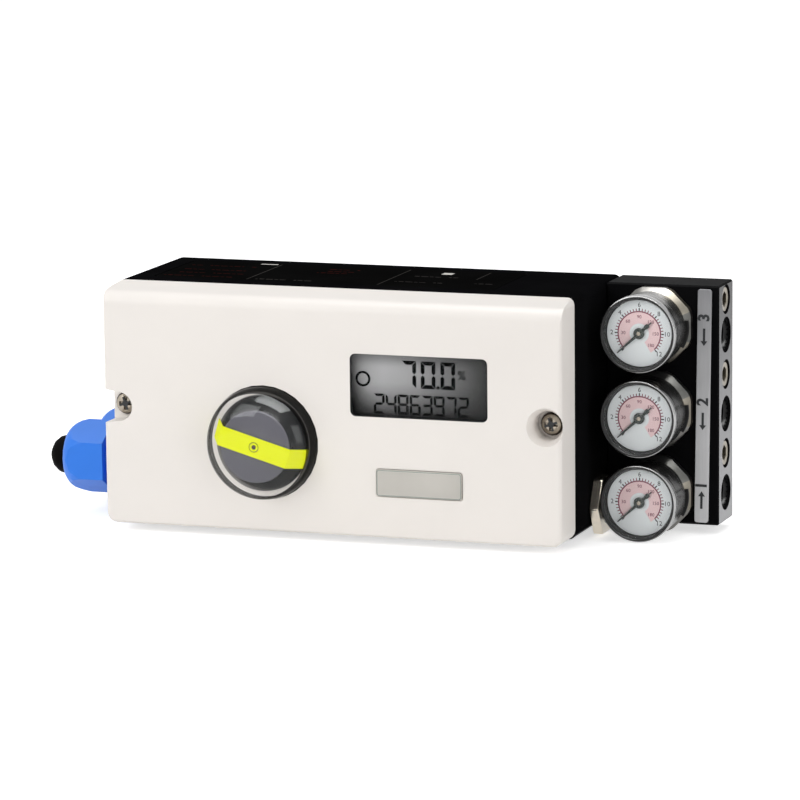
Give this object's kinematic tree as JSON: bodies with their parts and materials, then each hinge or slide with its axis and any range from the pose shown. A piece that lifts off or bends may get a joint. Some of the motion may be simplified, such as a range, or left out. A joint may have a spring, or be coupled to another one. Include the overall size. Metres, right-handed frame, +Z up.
{
  "type": "valve positioner",
  "caption": "Electro-pneumatic valve positioner: black housing, off-white cover with travel indicator and display, gauge block at one side, cable glands at the other.",
  "frame": {"origin": "where the feedback shaft's axis passes the flat back of the housing", "axes": "+X right along the front, towards the gauges; +Y backwards, out of the mounting face and along the shaft; +Z up"},
  "size_m": [0.2513, 0.103, 0.0907],
  "materials": {
    "black_paint": "satin black paint on cast aluminium",
    "white_plastic": "off-white moulded plastic, fine texture",
    "clear_plastic": "clear moulded plastic",
    "gauge_glass": "clear flat glass",
    "black_rubber": "black rubber",
    "black_film": "black label film",
    "satin_metal": "brushed silver",
    "steel": "plain steel",
    "bright_steel": "ground steel",
    "nickel": "nickel plate",
    "grey_cap": "dark grey plastic",
    "signal_yellow": "yellow-green",
    "brass": "machined brass",
    "bronze": "sintered bronze",
    "black_plastic": "black plastic",
    "board_green": "green circuit board",
    "grey_panel": "grey moulded plastic",
    "display_grey": "grey display face",
    "terminal_green": "green plastic",
    "alloy": "machined aluminium",
    "black_anodised": "black anodised aluminium",
    "white_dial": "white enamelled dial",
    "needle_black": "black needle",
    "gland_blue": "light blue nylon"
  },
  "bodies": {
    "housing_body": {"housing": "black_paint", "cover_gasket": "black_rubber", "film_label": "black_film", "shaft_bush": "bronze", "position_sensor": "black_plastic", "circuit_board": "board_green", "inner_panel": "grey_panel", "display_module": "display_grey", "terminal_block": "terminal_green", "air_relay": "alloy", "pressure_module": "bright_steel", "gauge_block": "black_anodised", "port_strip": "satin_metal", "blanking_plug": "nickel", "gland_body_front": "gland_blue", "gland_body_rear": "gland_blue", "gland_seal_front": "black_rubber", "gland_seal_rear": "black_rubber", "block_bolt_lower": "steel", "gauge_collar_lower": "nickel", "gauge_case_lower": "nickel", "gauge_dial_lower": "white_dial", "gauge_glass_lower": "gauge_glass", "block_bolt_middle": "steel", "gauge_collar_middle": "nickel", "gauge_case_middle": "nickel", "gauge_dial_middle": "white_dial", "gauge_glass_middle": "gauge_glass", "block_bolt_upper": "steel", "gauge_collar_upper": "nickel", "gauge_case_upper": "nickel", "gauge_dial_upper": "white_dial", "gauge_glass_upper": "gauge_glass"},
    "cover": {"front_cover": "white_plastic", "display_window": "clear_plastic", "indicator_dome": "clear_plastic", "badge_plate": "satin_metal"},
    "left_screw": {"cover_screw_left": "steel"},
    "right_screw": {"cover_screw_right": "steel"},
    "shaft": {"feedback_shaft": "bright_steel", "drive_gear": "brass", "indicator_cap": "grey_cap", "indicator_stripe": "signal_yellow", "indicator_screw": "steel"},
    "sensor_pinion": {"sensor_gear": "brass"},
    "pointer_lower": {"gauge_pointer_lower": "needle_black"},
    "pointer_middle": {"gauge_pointer_middle": "needle_black"},
    "pointer_upper": {"gauge_pointer_upper": "needle_black"},
    "mode_key": {"mode_button": "black_plastic"},
    "enter_key": {"enter_button": "black_plastic"},
    "up_key": {"up_button": "black_plastic"},
    "down_key": {"down_button": "black_plastic"},
    "front_gland_nut": {"gland_nut_front": "gland_blue"},
    "rear_gland_nut": {"gland_nut_rear": "gland_blue"}
  },
  "joints": [
    {"name": "shaft_turn", "type": "hinge", "parent": "housing_body", "child": "shaft", "pos_m": [0, 0, 0], "axis": [0, -1, 0], "range_deg": [-34, 66]},
    {"name": "sensor_turn", "type": "hinge", "parent": "housing_body", "child": "sensor_pinion", "pos_m": [0.02735, -0.02, 0], "axis": [0, -1, 0], "range_deg": [-132, 68]},
    {"name": "cover_lift_off", "type": "slide", "parent": "housing_body", "child": "cover", "axis": [0, -1, 0], "range_m": [0, 0.06]},
    {"name": "left_screw_turn", "type": "hinge", "parent": "cover", "child": "left_screw", "pos_m": [-0.0565, -0.0748, 0.0106], "axis": [0, -1, 0], "continuous": true},
    {"name": "right_screw_turn", "type": "hinge", "parent": "cover", "child": "right_screw", "pos_m": [0.1068, -0.0748, 0.0106], "axis": [0, -1, 0], "continuous": true},
    {"name": "pointer_lower_turn", "type": "hinge", "parent": "housing_body", "child": "pointer_lower", "pos_m": [0.1318, -0.0194, -0.0214], "axis": [0, 1, 0], "range_deg": [0, 270]},
    {"name": "pointer_middle_turn", "type": "hinge", "parent": "housing_body", "child": "pointer_middle", "pos_m": [0.1318, -0.0194, 0.0095], "axis": [0, 1, 0], "range_deg": [0, 270]},
    {"name": "pointer_upper_turn", "type": "hinge", "parent": "housing_body", "child": "pointer_upper", "pos_m": [0.1318, -0.0194, 0.0404], "axis": [0, 1, 0], "range_deg": [0, 270]},
    {"name": "mode_press", "type": "slide", "parent": "housing_body", "child": "mode_key", "axis": [0, 1, 0], "range_m": [0, 0.001], "stiffness_N_per_m": 400, "springref_m": -0.0005},
    {"name": "enter_press", "type": "slide", "parent": "housing_body", "child": "enter_key", "axis": [0, 1, 0], "range_m": [0, 0.001], "stiffness_N_per_m": 400, "springref_m": -0.0005},
    {"name": "up_press", "type": "slide", "parent": "housing_body", "child": "up_key", "axis": [0, 1, 0], "range_m": [0, 0.001], "stiffness_N_per_m": 400, "springref_m": -0.0005},
    {"name": "down_press", "type": "slide", "parent": "housing_body", "child": "down_key", "axis": [0, 1, 0], "range_m": [0, 0.001], "stiffness_N_per_m": 400, "springref_m": -0.0005},
    {"name": "front_gland_nut_turn", "type": "hinge", "parent": "housing_body", "child": "front_gland_nut", "pos_m": [-0.062, -0.044, -0.0142], "axis": [1, 0, 0], "continuous": true},
    {"name": "rear_gland_nut_turn", "type": "hinge", "parent": "housing_body", "child": "rear_gland_nut", "pos_m": [-0.062, -0.015, -0.0142], "axis": [1, 0, 0], "continuous": true}
  ],
  "couplings": [
    {"joint": "sensor_turn", "follows": "shaft_turn", "ratio": -2}
  ]
}
